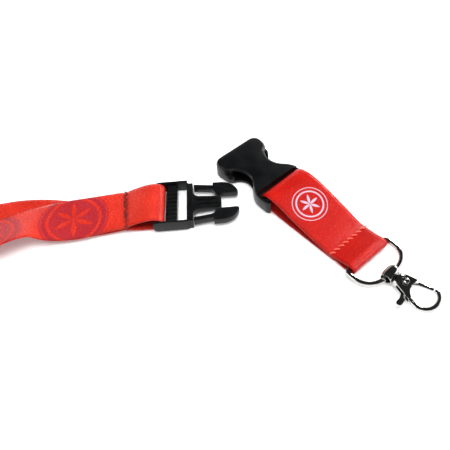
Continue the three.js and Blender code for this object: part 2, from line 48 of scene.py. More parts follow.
# direction, place (millimetres) and lens were solved from the photo's straight and square edges
CAMERA_AT = Vector((17.234, -135.750, 154.182))
camera_data = bpy.data.cameras.new("camera")
camera_data.sensor_width = 36.0
camera_data.lens = 39.635
camera_data.clip_start = 0.01
camera_data.clip_end = 20.0
camera = bpy.data.objects.new("camera", camera_data)
right = Vector((0.99679, -0.04884, -0.06344))
up = Vector((0.07794, 0.77335, 0.62917))
forward = Vector((-0.01834, 0.63210, -0.77467))
turned = Matrix((right, up, -forward)).transposed().to_4x4()
camera.matrix_world = Matrix.Translation(CAMERA_AT * MM) @ turned
bpy.context.scene.collection.objects.link(camera)
bpy.context.scene.camera = camera

# --------------------------------------------------------------- materials


def math_node(tree, operation, *values):
    node = tree.nodes.new("ShaderNodeMath")
    node.operation = operation
    for socket, value in zip(node.inputs, values):
        if isinstance(value, (int, float)):
            socket.default_value = value
        else:
            tree.links.new(value, socket)
    return node.outputs[0]


def blank_material(name, color, roughness, metallic=0.0):
    material = bpy.data.materials.new(name)
    material.use_nodes = True
    tree = material.node_tree
    shader = tree.nodes["Principled BSDF"]
    shader.inputs["Base Color"].default_value = (*color, 1.0)
    shader.inputs["Roughness"].default_value = roughness
    shader.inputs["Metallic"].default_value = metallic
    return material, tree, shader


def texture(tree, kind, vector, scale, detail=2.0):
    node = tree.nodes.new(kind)
    tree.links.new(vector, node.inputs["Vector"])
    node.inputs["Scale"].default_value = scale
    if "Detail" in node.inputs:
        node.inputs["Detail"].default_value = detail
    return node.outputs[0]


def ramp(tree, value, low, high, out_low=0.0, out_high=1.0):
    node = tree.nodes.new("ShaderNodeMapRange")
    node.inputs["From Min"].default_value = low
    node.inputs["From Max"].default_value = high
    node.inputs["To Min"].default_value = out_low
    node.inputs["To Max"].default_value = out_high
    tree.links.new(value, node.inputs["Value"])
    return node.outputs["Result"]


def mix_color(tree, factor, first, second):
    node = tree.nodes.new("ShaderNodeMix")
    node.data_type = "RGBA"
    tree.links.new(factor, node.inputs["Factor"])
    for socket, value in ((node.inputs["A"], first), (node.inputs["B"], second)):
        if isinstance(value, tuple):
            socket.default_value = (*value, 1.0)
        else:
            tree.links.new(value, socket)
    return node.outputs["Result"]


def bump(tree, shader, height, distance, strength):
    node = tree.nodes.new("ShaderNodeBump")
    node.inputs["Distance"].default_value = distance
    node.inputs["Strength"].default_value = strength
    tree.links.new(height, node.inputs["Height"])
    tree.links.new(node.outputs[0], shader.inputs["Normal"])


def band(tree, value, centre, half_width, soft):
    """1 within half_width of centre, fading to 0 over soft."""
    away = math_node(tree, "ABSOLUTE", math_node(tree, "SUBTRACT", value, centre))
    return ramp(tree, away, half_width - soft, half_width + soft, 1.0, 0.0)


def rosette(tree, x, y, radius):
    """A six-petal compass-drawn rosette as a 0 to 1 mask, and the distance from its centre."""
    distance = math_node(tree, "SQRT", math_node(
        tree, "ADD", math_node(tree, "MULTIPLY", x, x), math_node(tree, "MULTIPLY", y, y)))
    angle = math_node(tree, "ARCTAN2", y, x)
    sector = math.pi / 3
    folded = math_node(tree, "SUBTRACT", math_node(
        tree, "FLOORED_MODULO", math_node(tree, "ADD", angle, sector / 2), sector), sector / 2)
    along = math_node(tree, "DIVIDE", math_node(
        tree, "MULTIPLY", distance, math_node(tree, "COSINE", folded)), radius)
    aside = math_node(tree, "DIVIDE", math_node(tree, "ABSOLUTE", math_node(
        tree, "MULTIPLY", distance, math_node(tree, "SINE", folded))), radius)
    dx = math_node(tree, "SUBTRACT", along, 0.5)
    dy = math_node(tree, "ADD", aside, math.sqrt(3) / 2)
    reach = math_node(tree, "SQRT", math_node(
        tree, "ADD", math_node(tree, "MULTIPLY", dx, dx), math_node(tree, "MULTIPLY", dy, dy)))
    petal = ramp(tree, reach, 0.97, 1.0, 1.0, 0.0)
    return petal, distance


# how far the print's edges fade, in metres, and the disc's radius as a share of the petals'
PRINT_SOFT = 0.0002
RING_SOFT = 0.00008
DISC_SHARE = 1.15


def medallion(tree, across, along, design):
    """Printed medallions down the middle of the ribbon, as a 0 to 1 mask.

    They stand at centre, centre + period and so on up to last; a period of 0 prints one. rings
    are radii and line widths. With fill the disc inside the rings is tinted that strongly and
    the petals are left plain."""
    centre, period, last = design["centre"], design["period"], design["last"]
    rings, petals, fill = design["rings"], design["petals"], design["fill"]
    x = math_node(tree, "SUBTRACT", across, WIDTH * MM / 2)
    shifted = math_node(tree, "SUBTRACT", along, centre)
    if period:
        half = period / 2
        y = math_node(tree, "SUBTRACT", math_node(
            tree, "FLOORED_MODULO", math_node(tree, "ADD", shifted, half), period), half)
    else:
        y = shifted
    petal, distance = rosette(tree, x, y, petals)
    mask = petal
    if fill:
        edge = DISC_SHARE * petals
        disc = ramp(tree, distance, edge, edge + PRINT_SOFT, fill, 0.0)
        mask = math_node(tree, "MULTIPLY", disc, math_node(tree, "SUBTRACT", 1.0, petal))
    for radius, width in rings:
        line = band(tree, distance, radius, width / 2, RING_SOFT)
        mask = math_node(tree, "MAXIMUM", mask, line)
    reach = rings[0][0] + rings[0][1]
    start = ramp(tree, along, centre - reach, centre - reach + PRINT_SOFT)
    end = ramp(tree, along, last, last + PRINT_SOFT, 1.0, 0.0)
    return math_node(tree, "MULTIPLY", mask, math_node(tree, "MULTIPLY", start, end))


# the weave: thread pitches and the pattern's steps, in metres
WARP_PITCH, WEFT_PITCH = 0.00032, 0.00046
STEP_ACROSS, STEP_ALONG = 0.0016, 0.0023
SLUB_SCALE = (2400.0, 1100.0, 1.0)
# painted shade: how far the darkened span fades in and out, and the red it is darkened towards,
# which also tints the plain face slightly
PAINTED_SHADE_SOFT = 0.0015
SHADE_AND_REVERSE_RED = (0.24, 0.0025, 0.001)


def ribbon_material(name, design, painted_shade_span, tones):
    """Satin woven polyester, printed with design.

    UVs are metres: across the ribbon, then along it; the plain face is offset by 1 across.
    The third argument is the stretch where the plies lie on each other, which is painted darker as
    shade;
    tones are the darkest and lightest red of the yarn, darker on the short ribbon as painted shade."""
    material, tree, shader = blank_material(name, (0.72, 0.028, 0.014), 0.42)
    uv = tree.nodes.new("ShaderNodeUVMap")
    uv.uv_map = "cloth"
    split = tree.nodes.new("ShaderNodeSeparateXYZ")
    tree.links.new(uv.outputs[0], split.inputs[0])
    across, along = split.outputs[0], split.outputs[1]

    warp = math_node(tree, "SINE", math_node(tree, "MULTIPLY", across, 2 * math.pi / WARP_PITCH))
    weft = math_node(tree, "SINE", math_node(tree, "MULTIPLY", along, 2 * math.pi / WEFT_PITCH))
    over = math_node(tree, "SINE", math_node(tree, "ADD", math_node(
        tree, "MULTIPLY", across, 2 * math.pi / STEP_ACROSS), math_node(
        tree, "MULTIPLY", along, 2 * math.pi / STEP_ALONG)))
    weave = math_node(tree, "ADD", math_node(tree, "MULTIPLY", warp, 0.5), math_node(
        tree, "MULTIPLY", math_node(tree, "MULTIPLY", weft, over), 0.5))
    slub_vector = tree.nodes.new("ShaderNodeMapping")
    slub_vector.inputs["Scale"].default_value = SLUB_SCALE
    tree.links.new(uv.outputs[0], slub_vector.inputs["Vector"])
    slub = texture(tree, "ShaderNodeTexNoise", slub_vector.outputs[0], 1.0, 3.0)
    cloudy = texture(tree, "ShaderNodeTexNoise", uv.outputs[0], 130.0, 2.0)

    tone = math_node(tree, "ADD", math_node(tree, "MULTIPLY", slub, 0.7), math_node(
        tree, "MULTIPLY", cloudy, 0.3))
    red = mix_color(tree, ramp(tree, tone, 0.33, 0.67), *tones)
    # painted shade: the given span is mixed up to halfway towards the deep red
    start, end = painted_shade_span
    painted_shade_mix = math_node(tree, "MULTIPLY", ramp(tree, along, start, start + PAINTED_SHADE_SOFT, 0.0, 0.5),
                     ramp(tree, along, end - PAINTED_SHADE_SOFT, end, 1.0, 0.0))
    reverse = ramp(tree, across, 0.5, 0.6, 0.0, 0.15)
    red = mix_color(tree, math_node(tree, "MAXIMUM", painted_shade_mix, reverse), red, SHADE_AND_REVERSE_RED)
    mask = medallion(tree, across, along, design)
    strength = design["strength"]
    worn = math_node(tree, "MULTIPLY", mask, ramp(
        tree, slub, 0.25, 0.6, strength * 0.8, strength))
    color = mix_color(tree, worn, red, design["color"])
    tree.links.new(color, shader.inputs["Base Color"])
    shader.inputs["Sheen Weight"].default_value = 0.012
    shader.inputs["Sheen Roughness"].default_value = 0.4
    shader.inputs["Sheen Tint"].default_value = (1.0, 0.5, 0.35, 1.0)
    shader.inputs["Specular IOR Level"].default_value = 0.3
    tree.links.new(ramp(tree, slub, 0.3, 0.7, 0.19, 0.29), shader.inputs["Roughness"])
    height = math_node(tree, "ADD", weave, math_node(tree, "MULTIPLY", slub, 1.2))
    bump(tree, shader, height, 0.00004, 0.7)
    return material


def thread_material(name, dark, light):
    """Twisted polyester thread."""
    material, tree, shader = blank_material(name, light, 0.6)
    place = tree.nodes.new("ShaderNodeTexCoord").outputs["Object"]
    strands = texture(tree, "ShaderNodeTexNoise", place, 4200.0, 2.0)
    twist = tree.nodes.new("ShaderNodeTexWave")
    tree.links.new(place, twist.inputs["Vector"])
    twist.inputs["Scale"].default_value = 900.0
    twist.inputs["Distortion"].default_value = 2.0
    twist.bands_direction = "DIAGONAL"
    tone = math_node(tree, "MULTIPLY", strands, twist.outputs["Fac"])
    color = mix_color(tree, ramp(tree, tone, 0.1, 0.5), dark, light)
    tree.links.new(color, shader.inputs["Base Color"])
    shader.inputs["Sheen Weight"].default_value = 0.05
    bump(tree, shader, twist.outputs["Fac"], 0.00004, 0.8)
    return material


def plastic_material(name):
    """Moulded black acetal: fine grain and a little handling polish."""
    material, tree, shader = blank_material(name, (0.0035, 0.0038, 0.0042), 0.34)
    place = tree.nodes.new("ShaderNodeTexCoord").outputs["Object"]
    grain = texture(tree, "ShaderNodeTexNoise", place, 3800.0, 2.0)
    patches = texture(tree, "ShaderNodeTexNoise", place, 160.0, 3.0)
    color = mix_color(tree, ramp(tree, patches, 0.35, 0.7), (0.0026, 0.0028, 0.0031),
                      (0.0052, 0.0055, 0.0060))
    tree.links.new(color, shader.inputs["Base Color"])
    polish = math_node(tree, "ADD", math_node(tree, "MULTIPLY", grain, 0.4), math_node(
        tree, "MULTIPLY", patches, 0.6))
    tree.links.new(ramp(tree, polish, 0.35, 0.65, 0.27, 0.4), shader.inputs["Roughness"])
    shader.inputs["Specular IOR Level"].default_value = 0.27
    bump(tree, shader, grain, 0.00002, 0.35)
    return material


def metal_material(name, color, roughness, brushed=0.0):
    """Plated or drawn metal with faint pitting and handling marks; brushed deepens the pits."""
    material, tree, shader = blank_material(name, color, roughness, 1.0)
    place = tree.nodes.new("ShaderNodeTexCoord").outputs["Object"]
    pits = texture(tree, "ShaderNodeTexNoise", place, 900.0, 4.0)
    smears = texture(tree, "ShaderNodeTexNoise", place, 120.0, 3.0)
    darker = tuple(0.82 * c for c in color)
    tone = mix_color(tree, ramp(tree, smears, 0.3, 0.7), darker, color)
    tree.links.new(tone, shader.inputs["Base Color"])
    marks = ramp(tree, smears, 0.3, 0.75, roughness * 0.6, roughness * 1.6)
    tree.links.new(marks, shader.inputs["Roughness"])
    bump(tree, shader, pits, 0.00002 + brushed, 0.25)
    return material


def elastic_material(name):
    """Dull knitted elastic with a diagonal rib."""
    material, tree, shader = blank_material(name, (0.012, 0.012, 0.013), 0.85)
    place = tree.nodes.new("ShaderNodeTexCoord").outputs["Object"]
    knit = tree.nodes.new("ShaderNodeTexWave")
    tree.links.new(place, knit.inputs["Vector"])
    knit.inputs["Scale"].default_value = 420.0
    knit.inputs["Distortion"].default_value = 1.0
    knit.bands_direction = "DIAGONAL"
    fuzz = texture(tree, "ShaderNodeTexNoise", place, 2500.0, 3.0)
    color = mix_color(tree, math_node(tree, "MULTIPLY", knit.outputs["Fac"], fuzz),
                      (0.004, 0.004, 0.005), (0.022, 0.022, 0.024))
    tree.links.new(color, shader.inputs["Base Color"])
    shader.inputs["Sheen Weight"].default_value = 0.08
    shader.inputs["Specular IOR Level"].default_value = 0.2
    bump(tree, shader, math_node(tree, "ADD", knit.outputs["Fac"], fuzz), 0.00012, 0.8)
    return material


# both prints, measured in metres on the flat ribbon
NECK_PRINT = {
    "color": (0.20, 0.008, 0.020), "strength": 0.8, "fill": 0.85,
    "centre": 0.0576, "period": 0.035, "last": 0.36,
    "rings": ((0.0139, 0.0006), (0.0123, 0.0018)), "petals": 0.0087,
}
SHORT_PRINT = {
    "color": (0.46, 0.40, 0.50), "strength": 0.92, "fill": 0.0,
    "centre": 0.0480, "period": 0.0, "last": 0.07,
    "rings": ((0.0070, 0.0003), (0.0054, 0.0006)), "petals": 0.0042,
}
# each ribbon's third argument is the span painted darker as shade
neck_ribbon = ribbon_material(
    "neck_ribbon", NECK_PRINT, (0.02, 0.0225), ((0.32, 0.008, 0.003), (0.53, 0.026, 0.012)))
# the short ribbon's tones are darker than the neck ribbon's as painted shade
short_ribbon = ribbon_material(
    "short_ribbon", SHORT_PRINT, (0.0185, 0.0270), ((0.27, 0.002, 0.0006), (0.43, 0.006, 0.002)))
dark_thread = thread_material("dark_thread", (0.05, 0.002, 0.002), (0.20, 0.006, 0.006))
light_thread = thread_material("light_thread", (0.50, 0.04, 0.025), (0.80, 0.17, 0.12))
plastic = plastic_material("black_plastic")
nickel = metal_material("nickel", (0.60, 0.595, 0.58), 0.1)
steel = metal_material("spring_steel", (0.5, 0.5, 0.5), 0.22, 0.00002)
elastic = elastic_material("black_elastic")

# ------------------------------------------------------------ ribbon making


def new_object(name, mesh, material, body, slot, *nodes):
    """Puts mesh into the scene on body, with material in its one slot, in place of the CAD nodes;
    slot is not used.
    """
    obj = bpy.data.objects.new(name, mesh)
    bpy.context.scene.collection.objects.link(obj)
    mesh.materials.clear()
    mesh.materials.append(material)
    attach(obj, body)
    if nodes:
        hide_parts(*nodes)
    return obj


def limited(value):
    return min(max(value, 0.0), 1.0)


def spline_point(points, t):
    """A centripetal Catmull-Rom curve through points, at 0 to 1."""
    last = len(points) - 1
    place = last * t
    index = min(int(place), last - 1)
    weight = place - index
    p1, p2 = points[index], points[index + 1]
    p0 = points[index - 1] if index > 0 else 2 * points[0] - points[1]
    p3 = points[index + 2] if index + 2 <= last else 2 * points[last] - points[last - 1]
    d0 = (p1 - p0).length ** 0.5
    d1 = (p2 - p1).length ** 0.5
    d2 = (p3 - p2).length ** 0.5
    d1 = d1 if d1 > 1e-4 else 1.0
    d0 = d0 if d0 > 1e-4 else d1
    d2 = d2 if d2 > 1e-4 else d1
    t1 = ((p1 - p0) / d0 - (p2 - p0) / (d0 + d1) + (p2 - p1) / d1) * d1
    t2 = ((p2 - p1) / d1 - (p3 - p1) / (d1 + d2) + (p3 - p2) / d2) * d1
    c2 = -3 * p1 + 3 * p2 - 2 * t1 - t2
    c3 = 2 * p1 - 2 * p2 + t1 + t2
    return p1 + weight * (t1 + weight * (c2 + weight * c3))


def quadratic(a, b, c, steps):
    """Points on a quadratic curve after its start."""
    result = []
    for i in range(1, steps + 1):
        t = i / steps
        result.append((1 - t) ** 2 * a + 2 * t * (1 - t) * b + t * t * c)
    return result


def cubic(a, b, c, d, steps):
    """Points on a cubic curve after its start."""
    result = []
    for i in range(1, steps + 1):
        t = i / steps
        result.append((1 - t) ** 3 * a + 3 * t * (1 - t) ** 2 * b
                      + 3 * t * t * (1 - t) * c + t ** 3 * d)
    return result


def arc(centre, radius, start, end, steps):
    """Points on a circle in the XZ plane after its start, angles in degrees."""
    result = []
    for i in range(1, steps + 1):
        angle = math.radians(start + (end - start) * i / steps)
        result.append(centre + Vector((radius * math.cos(angle), 0, radius * math.sin(angle))))
    return result


def evenly(path, step):
    """Resamples (centre, across) stations about every step, keeping the ends."""
    lengths = [0.0]
    for (a, _), (b, _) in zip(path, path[1:]):
        lengths.append(lengths[-1] + (b - a).length)
    count = max(2, int(lengths[-1] / step))
    result = []
    index = 0
    for i in range(count + 1):
        wanted = lengths[-1] * i / count
        while index < len(path) - 2 and lengths[index + 1] < wanted:
            index += 1
        part = (wanted - lengths[index]) / max(lengths[index + 1] - lengths[index], 1e-9)
        centre = path[index][0].lerp(path[index + 1][0], part)
        across = path[index][1].lerp(path[index + 1][1], part)
        result.append((centre, across))
    return result


def smoothed(stations, rounds):
    """Softens corners between parts of the route; the two ends stay."""
    for _ in range(rounds):
        moved = [stations[0]]
        for a, b, c in zip(stations, stations[1:], stations[2:]):
            moved.append(((a[0] + 2 * b[0] + c[0]) / 4, (a[1] + 2 * b[1] + c[1]) / 4))
        stations = moved + [stations[-1]]
    return stations


# the ribbon thins over the last part of each half, and its edges waver by FRAY millimetres
EDGE_PART, EDGE_THINNING = 0.1, 0.45
FRAY = 0.05


def ribbon_mesh(name, stations, place=Matrix.Identity(4), columns=14, ripple=0.10, pinch=None,
                warp=None):
    """A thin woven ribbon along stations in millimetres.

    ripple is the height of its gentle waves, pinch gives a rise at a place across and along
    the ribbon, and warp moves a finished point.
    Returns the mesh in metres and the ribbon's length in millimetres."""
    mesh = bpy.data.meshes.new(name)
    bm = bmesh.new()
    layer = bm.loops.layers.uv.new("cloth")
    rows = []
    along = 0.0
    count = len(stations)
    for i, (centre, across) in enumerate(stations):
        if i:
            along += (centre - stations[i - 1][0]).length
        tangent = (stations[min(i + 1, count - 1)][0] - stations[max(i - 1, 0)][0]).normalized()
        side = (across - tangent * across.dot(tangent)).normalized()
        normal = side.cross(tangent)
        ring = []
        for face in (1, -1):
            for j in range(columns + 1):
                s = 2 * j / columns - 1 if face > 0 else 1 - 2 * j / columns
                edge = max(0.0, abs(s) - (1 - EDGE_PART)) / EDGE_PART
                half = THICKNESS / 2 * (1 - EDGE_THINNING * edge * edge)
                wobble = ripple * noise.noise(Vector((s * 1.3, along * 0.055, 3.1)))
                squeeze = pinch(s, along) if pinch else 0.0
                fray = FRAY * noise.noise(Vector((s * 9, along * 0.4, 7.7)))
                lateral = s * (WIDTH / 2 - FRAY + fray)
                point = centre + side * lateral + normal * (face * half + wobble + squeeze)
                if warp:
                    warp(point)
                ring.append(bm.verts.new(place @ point * MM))
        rows.append((ring, along))
    size = 2 * (columns + 1)
    for (ring0, v0), (ring1, v1) in zip(rows, rows[1:]):
        for j in range(size):
            k = (j + 1) % size
            face = bm.faces.new((ring0[j], ring0[k], ring1[k], ring1[j]))
            face.smooth = True
            reverse = j > columns
            for loop in face.loops:
                on = j if loop.vert in (ring0[j], ring1[j]) else j + 1
                u = on / columns if not reverse else (2 * columns + 1 - on) / columns
                if j == columns:
                    u = 1.0
                if j == size - 1:
                    u = 0.0
                v = v0 if loop.vert in (ring0[j], ring0[k]) else v1
                loop[layer].uv = (limited(u) * WIDTH * MM + (1.0 if reverse else 0.0), v * MM)
    for ring, v in (rows[0], rows[-1]):
        cap = bm.faces.new(ring if ring is rows[0][0] else ring[::-1])
        for loop in cap.loops:
            loop[layer].uv = (1.0, v * MM)
    bmesh.ops.recalc_face_normals(bm, faces=bm.faces)
    bm.to_mesh(mesh)
    bm.free()
    return mesh, along


def flat_stations(points):
    """Stations of a stretch that lies square across the Y axis."""
    return [(point, Vector((0, 1, 0))) for point in points]


# neck ribbon: from the seam under the outer bar, over it and back to the seam, along the front
# leg, through the folded length and back along the rear leg
BAR = Vector((-12.8, 0, 2.9))
BAR_REACH = 2.0
CROWN = Vector((-15.5, 0, 6.3))
loop_points = [Vector((-27.4, 0, 1.75)), Vector((-24, 0, 1.3)), Vector((-20, 0, 0.9))]
loop_points += [Vector((-16, 0, 0.9)), BAR - Vector((0, 0, BAR_REACH))]
loop_points += arc(BAR + Vector((0.2, 0, 0)), BAR_REACH, -90, 0, 8)
loop_points += quadratic(loop_points[-1], Vector((-10.6, 0, 6.3)), CROWN, 10)
loop_points += quadratic(CROWN, Vector((-19, 0, 6.3)), Vector((-27.0, 0, 2.75)), 12)

# points of each leg's middle line, with the direction across the ribbon there
FRONT_LEG = (
    ((-27.4, 0, 2.75), (0, 1, 0)),
    ((-37, -1.4, 2.75), (-0.1, 1, 0.03)),
    ((-46, -3.2, 3), (-0.1, 1, 0.1)),
    ((-56, -3.9, 3.4), (-0.15, 1, 0.02)),
    ((-65, -4.4, 4.4), (-0.28, 1, -0.25)),
    ((-73, -7.6, 5.2), (-0.42, 1, -0.34)),
    ((-81, -10.8, 5), (-0.3, 1, -0.25)),
    ((-90, -10.8, 3.9), (0.05, 1, 0)),
    ((-100.6, -6, 3), (0, 1, 0)),
)
BACK_LEG = (
    ((-27.4, 0, 1.6), (0, 1, 0)),
    ((-37, -1.2, 1.2), (-0.06, 1, 0)),
    ((-48, -1.6, 0.8), (-0.02, 1, 0)),
    ((-58, 0.3, 0.7), (0.14, 1, 0)),
    ((-66, 1.6, 0.7), (0.08, 1, 0)),
    ((-75, 1.7, 0.7), (-0.06, 1, 0)),
    ((-84, 0.2, 0.8), (-0.2, 1, 0)),
    ((-92, -2.6, 1.1), (-0.3, 1, 0)),
    ((-100.6, -6, 1.7), (0, 1, 0)),
)


def leg(stops, steps=150):
    """Stations along a smooth line through stops."""
    middle = [Vector(at) for at, _ in stops]
    sides = [Vector(across).normalized() for _, across in stops]
    return [(spline_point(middle, i / steps), spline_point(sides, i / steps))
            for i in range(steps + 1)]


HANK_LEFT, HANK_RIGHT, HANK_Y = -203.4, -101.6, -6.0
PLY_PITCH = 1.15
PLY_BASE = 1.7
# plies numbered from the bottom, in the order in which the ribbon runs through them
PLY_ORDER = (1, 2, 5, 6, 7, 4, 3, 0)
PLY_STEPS, TURN_STEPS = 12, 8
LEFT_SLACK = 0.4
PLY_SAG = 0.12


def ply_height(index):
    return PLY_BASE + PLY_PITCH * index


def hank_points():
    """The ribbon folded double, back and forth, out and back again."""
    points = []
    left = True
    for number, ply in enumerate(PLY_ORDER):
        z = ply_height(ply)
        a, b = (HANK_RIGHT, HANK_LEFT) if left else (HANK_LEFT, HANK_RIGHT)
        # each ply starts and ends where the round turns to its neighbours do
        if number + 1 < len(PLY_ORDER):
            reach = abs(ply_height(PLY_ORDER[number + 1]) - z) / 2
            b += reach + LEFT_SLACK if left else -reach
        if number:
            back = abs(ply_height(PLY_ORDER[number - 1]) - z) / 2
            a += -back if left else back
        for i in range(1 if number else 0, PLY_STEPS):
            t = i / PLY_STEPS
            sag = PLY_SAG * math.sin(2 * math.pi * (2 * t + 0.13 * number))
            points.append(Vector((a + (b - a) * t, HANK_Y, z + sag * math.sin(math.pi * t))))
        points.append(Vector((b, HANK_Y, z)))
        if number + 1 < len(PLY_ORDER):
            other = ply_height(PLY_ORDER[number + 1])
            centre = Vector((b, HANK_Y, (z + other) / 2))
            radius = (other - z) / 2
            turn = -1 if left else 1
            for i in range(1, TURN_STEPS + 1):
                angle = math.pi * i / TURN_STEPS
                out = turn * abs(radius) * math.sin(angle)
                points.append(centre + Vector((out, 0, -radius * math.cos(angle))))
        left = not left
    return points


neck_stations = evenly(flat_stations(loop_points), 0.5)
loop_count = len(neck_stations)
neck_stations += evenly(leg(FRONT_LEG), 0.9)
neck_stations += evenly(flat_stations(hank_points()), 1.3)[1:-1]
neck_stations += evenly(list(reversed(leg(BACK_LEG))), 0.9)
neck_stations = smoothed(neck_stations, 2)
SEAM_ALONG = sum((b[0] - a[0]).length
                 for a, b in zip(neck_stations, neck_stations[1:loop_count]))
SEAM_SPREAD = 0.9
SEAM_DIP, PUCKER, PUCKER_WAVES = 0.22, 0.06, 9.5


def neck_pinch(s, along):
    """The seam's stitches pull the ribbon down in a line with small puckers beside it."""
    away = (along - (SEAM_ALONG - 0.9 + 1.0 * s)) / SEAM_SPREAD
    puckers = PUCKER * math.exp(-(away / 3) ** 2) * math.cos(PUCKER_WAVES * s * math.pi)
    return -SEAM_DIP * math.exp(-away * away) + puckers


neck_mesh, neck_length = ribbon_mesh("neck_ribbon", neck_stations, pinch=neck_pinch)
neck = new_object("neck_ribbon", neck_mesh, neck_ribbon, "neck_strap", "red_ribbon",
                  "neck_strap_loop", "neck_strap_front_leg", "neck_strap_back_leg",
                  "neck_strap_folds")

# short ribbon, in the socket half's own axes
SOCKET = Matrix.Translation((37.5, 4.7, 0)) @ Matrix.Rotation(math.radians(-52), 4, "Z")
WEB_BAR = Vector((1.2, 0, 3.9))
WEB_REACH = 2.1
FOLD = Vector((45.8, 0, 2.1))
FOLD_REACH = 1.55
SEAM_TOP = Vector((36.4, 0, 1.9))
SHORT_CROWN = Vector((4, 0, 7.3))
short_points = [Vector((32.5, 0, 1.32)), Vector((36.4, 0, 1.3)), Vector((40, 0, 0.95))]
short_points += [Vector((44.3, 0, 0.55)), FOLD - Vector((0, 0, FOLD_REACH))]
short_points += arc(FOLD, FOLD_REACH, -90, 90, 14)
short_points += [Vector((44.3, 0, 3.65)), Vector((41.2, 0, 2.95)), SEAM_TOP]
short_points += cubic(SEAM_TOP, Vector((14, 0, 3.9)), Vector((12, 0, 7.3)), SHORT_CROWN, 24)
short_points += quadratic(SHORT_CROWN, Vector((-0.9, 0, 7.3)), Vector((-0.9, 0, 3.9)), 10)
short_points += arc(WEB_BAR, WEB_REACH, 180, 270, 8)
short_points += quadratic(short_points[-1], Vector((7.2, 0, 0.7)), Vector((15.2, 0, 0.7)), 8)
short_points += [Vector((28, 0, 0.7)), Vector((38.2, 0, 0.66))]

# heights that part the upper ply from the lower, up to the crown's end and beyond it
CROWN_SPLIT, SEAM_SPLIT = 3.9, 1.4
CROWN_END = 6
SPLIT_SOFT = 1.5
FAR_LIFT, LIFT_START, LIFT_LENGTH = 2.9, -6, 40
FAR_GATHER, GATHER_LENGTH = 0.8, 6
SHORT_SEAM_X, SHORT_SEAM_Z = 36.4, 2.3


def short_warp(point):
    """The upper ply stands higher along its far edge, and the ring gathers that edge inwards."""
    split = CROWN_SPLIT if point.x < CROWN_END else SEAM_SPLIT
    weight = limited((point.z - split) / SPLIT_SOFT)
    farness = point.y / WIDTH + 0.5
    lift = FAR_LIFT * math.sin(math.pi * limited((point.x - LIFT_START) / LIFT_LENGTH))
    point.z += lift * weight * farness
    point.y -= FAR_GATHER * farness * limited((point.x - SHORT_SEAM_X) / GATHER_LENGTH)


short_stations = smoothed(evenly(flat_stations(short_points), 0.5), 2)
short_mesh, short_length = ribbon_mesh("short_ribbon", short_stations, place=SOCKET, ripple=0.06,
                                       warp=short_warp)
short = new_object("short_ribbon", short_mesh, short_ribbon, "short_ribbon", "red_ribbon",
                   "short_strap")

# ---------------------------------------------------------------- stitching


def tube(bm, points, radius, sides=8, taper=0.75):
    """A round thread through points, closed at both ends."""
    rings = []
    for i, point in enumerate(points):
        tangent = (points[min(i + 1, len(points) - 1)] - points[max(i - 1, 0)]).normalized()
        aside = tangent.cross(Vector((0.13, 0.21, 1))).normalized()
        above = aside.cross(tangent)
        width = radius * (taper if i in (0, len(points) - 1) else 1)
        ring = []
        for j in range(sides):
            angle = 2 * math.pi * j / sides
            ring.append(bm.verts.new((point + aside * width * math.cos(angle)
                                      + above * width * math.sin(angle)) * MM))
        rings.append(ring)
    for ring0, ring1 in zip(rings, rings[1:]):
        for j in range(sides):
            k = (j + 1) % sides
            bm.faces.new((ring0[j], ring0[k], ring1[k], ring1[j])).smooth = True
    bm.faces.new(rings[0])
    bm.faces.new(rings[-1][::-1])


def finish_threads(bm, name, material, body, slot, node):
    """Turns the collected tubes into one piece."""
    bmesh.ops.recalc_face_normals(bm, faces=bm.faces)
    mesh = bpy.data.meshes.new(name)
    bm.to_mesh(mesh)
    bm.free()
    return new_object(name, mesh, material, body, slot, node)


# how far below the cloth's surface a stitch starts and ends
STITCH_SINK = 0.15


def stitch(bm, start, end, lift, radius, place=Matrix.Identity(4), steps=7):
    """One stitch: out of the cloth at start, over it, and back in at end."""
    points = []
    for i in range(steps + 1):
        t = i / steps
        point = start.lerp(end, t)
        point.z += lift * math.sin(math.pi * t) ** 0.6 - STITCH_SINK
        points.append(place @ point)
    tube(bm, points, radius)


rng = random.Random(7)
bm = bmesh.new()
SEAM_X, SEAM_Z = -26.4, 3.25


def on_seam(x, y, z=0.0):
    """A point beside the seam, which runs slightly askew."""
    return Vector((SEAM_X - 0.1 * y + x, y, SEAM_Z + z))


# a zigzag over nearly the whole width, then loose stitches over it and three cut tails
NECK_ZIGZAGS, NECK_OVERS = 14, 9
for i in range(NECK_ZIGZAGS):
    y0 = -9.7 + 19.4 * i / NECK_ZIGZAGS
    y1 = y0 + 19.4 / NECK_ZIGZAGS
    turn = 1 if i % 2 else -1
    jitter = rng.uniform(-0.25, 0.25)
    stitch(bm, on_seam(0.7 * turn + jitter, y0), on_seam(-0.7 * turn + jitter, y1 + 0.2),
           0.42, 0.27)
for i in range(NECK_OVERS):
    y0 = -9.3 + 18.6 * i / NECK_OVERS + rng.uniform(-0.4, 0.4)
    stitch(bm, on_seam(-0.5 + rng.uniform(-0.4, 0.4), y0),
           on_seam(0.4 + rng.uniform(-0.4, 0.4), y0 + 1.3), 0.6, 0.24)
for end_x, end_y, end_z in ((1.3, -11.0, -0.6), (0.2, -11.2, -0.9), (-0.6, -10.8, -0.5)):
    tail = [on_seam(0, -9.1), on_seam(end_x * 0.3, -9.8, 0.4), on_seam(end_x * 0.7, -10.4, 0.1),
            on_seam(end_x, end_y, end_z)]
    tube(bm, tail, 0.13)
neck_threads = finish_threads(
    bm, "neck_threads", dark_thread, "neck_strap", "dark_thread", "neck_strap_stitching")


def on_short_seam(x, y, z=0.0):
    """A point beside the short ribbon's seam, in the socket half's own axes."""
    return Vector((SHORT_SEAM_X + x, y, SHORT_SEAM_Z + z))


